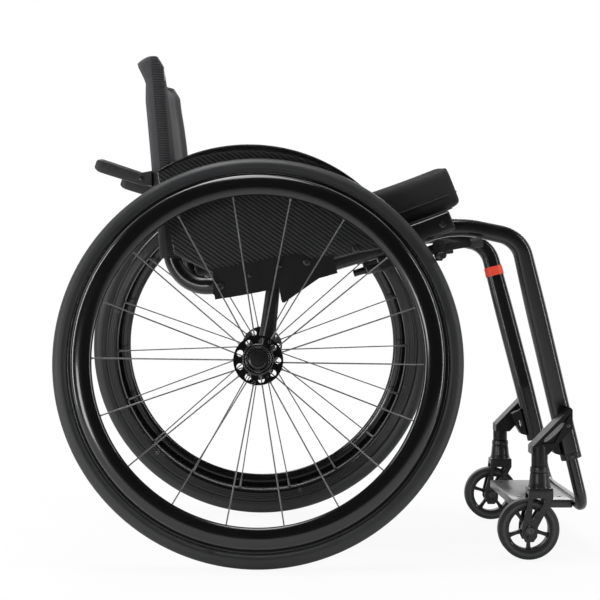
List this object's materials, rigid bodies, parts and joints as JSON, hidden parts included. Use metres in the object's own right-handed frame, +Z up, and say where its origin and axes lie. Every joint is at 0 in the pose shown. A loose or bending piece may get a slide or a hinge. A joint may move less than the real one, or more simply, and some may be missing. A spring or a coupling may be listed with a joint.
{
  "type": "active wheelchair",
  "caption": "Rigid-frame active wheelchair with cambered spoked drive wheels, castors, carbon side guards, wheel locks, height-adjustable footrest and fold-down backrest.",
  "frame": {"origin": "middle of the footprint's bounding box, on the floor", "axes": "+X towards the footrest, +Y to the user's left, +Z up"},
  "size_m": [0.7897, 0.6456, 0.739],
  "materials": {
    "frame_gloss_black": "gloss black powder coat on aluminium tube",
    "fittings_gloss_black": "gloss black anodised or painted forged fittings",
    "fittings_satin_black": "satin black coated fittings",
    "rim_black": "gloss black rim",
    "handrim_black": "smooth gloss black hand hoop",
    "hub_black": "gloss black turned hub, black spokes",
    "tyre_rubber": "dark grey slick tyre with a fine tread",
    "castor_tyre": "solid black castor tyre",
    "castor_core": "satin black moulded wheel centre",
    "guard_carbon": "lacquered black twill carbon sheet",
    "upholstery_cloth": "black spacer mesh with bound edges",
    "cushion_cloth": "black woven cushion cover",
    "sling_cloth": "black tensioned webbing",
    "handle_plastic": "matt black glass-filled plastic",
    "button_plastic": "gloss black push button",
    "steel": "plain steel pins and bolts",
    "accent_red": "red-orange sleeve"
  },
  "bodies": {
    "frame": {"front_tube_right": "frame_gloss_black", "front_tube_left": "frame_gloss_black", "seat_rail_right": "frame_gloss_black", "seat_rail_left": "frame_gloss_black", "axle_bracket_right": "fittings_gloss_black", "axle_bracket_left": "fittings_gloss_black", "axle_carrier_right": "fittings_gloss_black", "axle_carrier_left": "fittings_gloss_black", "side_guard_right": "guard_carbon", "side_guard_left": "guard_carbon", "backrest_bolt_right": "steel", "backrest_bolt_left": "steel", "footrest_clamp_right": "fittings_satin_black", "footrest_clamp_left": "fittings_satin_black", "castor_arm_right": "fittings_gloss_black", "castor_arm_left": "fittings_gloss_black", "castor_bearing_right": "fittings_satin_black", "castor_bearing_left": "fittings_satin_black", "brake_body_right": "fittings_satin_black", "brake_body_left": "fittings_satin_black", "axle_pin_right": "steel", "axle_pin_left": "steel", "camber_tube": "frame_gloss_black", "seat_cross_tube": "frame_gloss_black", "accent_band": "accent_red", "seat_sling": "sling_cloth", "seat_cushion": "cushion_cloth"},
    "rear_wheel_right": {"rear_tyre_right": "tyre_rubber", "rear_rim_right": "rim_black", "handrim_right": "handrim_black", "spoked_hub_right": "hub_black"},
    "axle_release_right": {"axle_button_right": "button_plastic"},
    "castor_swivel_right": {"castor_fork_right": "fittings_satin_black", "castor_axle_right": "steel"},
    "castor_wheel_right": {"castor_rim_right": "castor_core", "castor_tyre_right": "castor_tyre"},
    "push_handle_right": {"push_handle_right": "handle_plastic"},
    "wheel_lock_lever_right": {"brake_lever_right": "fittings_satin_black"},
    "wheel_lock_shoe_right": {"brake_shoe_right": "fittings_satin_black"},
    "rear_wheel_left": {"rear_tyre_left": "tyre_rubber", "rear_rim_left": "rim_black", "handrim_left": "handrim_black", "spoked_hub_left": "hub_black"},
    "axle_release_left": {"axle_button_left": "button_plastic"},
    "castor_swivel_left": {"castor_fork_left": "fittings_satin_black", "castor_axle_left": "steel"},
    "castor_wheel_left": {"castor_rim_left": "castor_core", "castor_tyre_left": "castor_tyre"},
    "push_handle_left": {"push_handle_left": "handle_plastic"},
    "wheel_lock_lever_left": {"brake_lever_left": "fittings_satin_black"},
    "wheel_lock_shoe_left": {"brake_shoe_left": "fittings_satin_black"},
    "backrest": {"back_tube_right": "frame_gloss_black", "back_tube_left": "frame_gloss_black", "back_upholstery": "upholstery_cloth", "back_cross_bar": "frame_gloss_black", "handle_bracket_right": "handle_plastic", "handle_bracket_left": "handle_plastic"},
    "footrest": {"footrest_tube": "frame_gloss_black", "footplate": "fittings_satin_black"}
  },
  "joints": [
    {"name": "rear_wheel_right_spin", "type": "hinge", "parent": "frame", "child": "rear_wheel_right", "pos_m": [-0.09988, -0.25, 0.29345], "axis": [0, -0.9945, 0.1045], "continuous": true},
    {"name": "axle_button_right_press", "type": "slide", "parent": "frame", "child": "axle_release_right", "axis": [0, 0.9945, -0.1045], "range_m": [0, 0.004], "stiffness_N_per_m": 400},
    {"name": "castor_right_swivel", "type": "hinge", "parent": "frame", "child": "castor_swivel_right", "pos_m": [0.31262, -0.2, 0.12], "axis": [0, 0, 1], "continuous": true},
    {"name": "castor_right_spin", "type": "hinge", "parent": "castor_swivel_right", "child": "castor_wheel_right", "pos_m": [0.29612, -0.2, 0.045], "axis": [0, 1, 0], "continuous": true},
    {"name": "rear_wheel_left_spin", "type": "hinge", "parent": "frame", "child": "rear_wheel_left", "pos_m": [-0.09988, 0.25, 0.29345], "axis": [0, 0.9945, 0.1045], "continuous": true},
    {"name": "axle_button_left_press", "type": "slide", "parent": "frame", "child": "axle_release_left", "axis": [0, -0.9945, -0.1045], "range_m": [0, 0.004], "stiffness_N_per_m": 400},
    {"name": "castor_left_swivel", "type": "hinge", "parent": "frame", "child": "castor_swivel_left", "pos_m": [0.31262, 0.2, 0.12], "axis": [0, 0, 1], "continuous": true},
    {"name": "castor_left_spin", "type": "hinge", "parent": "castor_swivel_left", "child": "castor_wheel_left", "pos_m": [0.29612, 0.2, 0.045], "axis": [0, 1, 0], "continuous": true},
    {"name": "backrest_fold", "type": "hinge", "parent": "frame", "child": "backrest", "pos_m": [-0.15588, 0, 0.402], "axis": [0, 1, 0], "range_deg": [0, 60]},
    {"name": "push_handle_right_fold", "type": "hinge", "parent": "backrest", "child": "push_handle_right", "pos_m": [-0.27288, -0.1845, 0.5595], "axis": [0, -1, 0], "range_deg": [0, 105]},
    {"name": "wheel_lock_right_lever", "type": "hinge", "parent": "frame", "child": "wheel_lock_lever_right", "pos_m": [0.15701, -0.196, 0.45689], "axis": [0, 1, 0], "range_deg": [0, 60]},
    {"name": "wheel_lock_right_shoe", "type": "hinge", "parent": "frame", "child": "wheel_lock_shoe_right", "pos_m": [0.16342, -0.196, 0.46142], "axis": [0, 1, 0], "range_deg": [0, 24]},
    {"name": "push_handle_left_fold", "type": "hinge", "parent": "backrest", "child": "push_handle_left", "pos_m": [-0.27288, 0.1845, 0.5595], "axis": [0, -1, 0], "range_deg": [0, 105]},
    {"name": "wheel_lock_left_lever", "type": "hinge", "parent": "frame", "child": "wheel_lock_lever_left", "pos_m": [0.15701, 0.196, 0.45689], "axis": [0, 1, 0], "range_deg": [0, 60]},
    {"name": "wheel_lock_left_shoe", "type": "hinge", "parent": "frame", "child": "wheel_lock_shoe_left", "pos_m": [0.16342, 0.196, 0.46142], "axis": [0, 1, 0], "range_deg": [0, 24]},
    {"name": "footrest_height", "type": "slide", "parent": "frame", "child": "footrest", "axis": [0.2357, 0, -0.9718], "range_m": [-0.02, 0.01]}
  ],
  "couplings": [
    {"joint": "wheel_lock_right_shoe", "follows": "wheel_lock_right_lever", "ratio": 0.4},
    {"joint": "wheel_lock_left_shoe", "follows": "wheel_lock_left_lever", "ratio": 0.4}
  ]
}
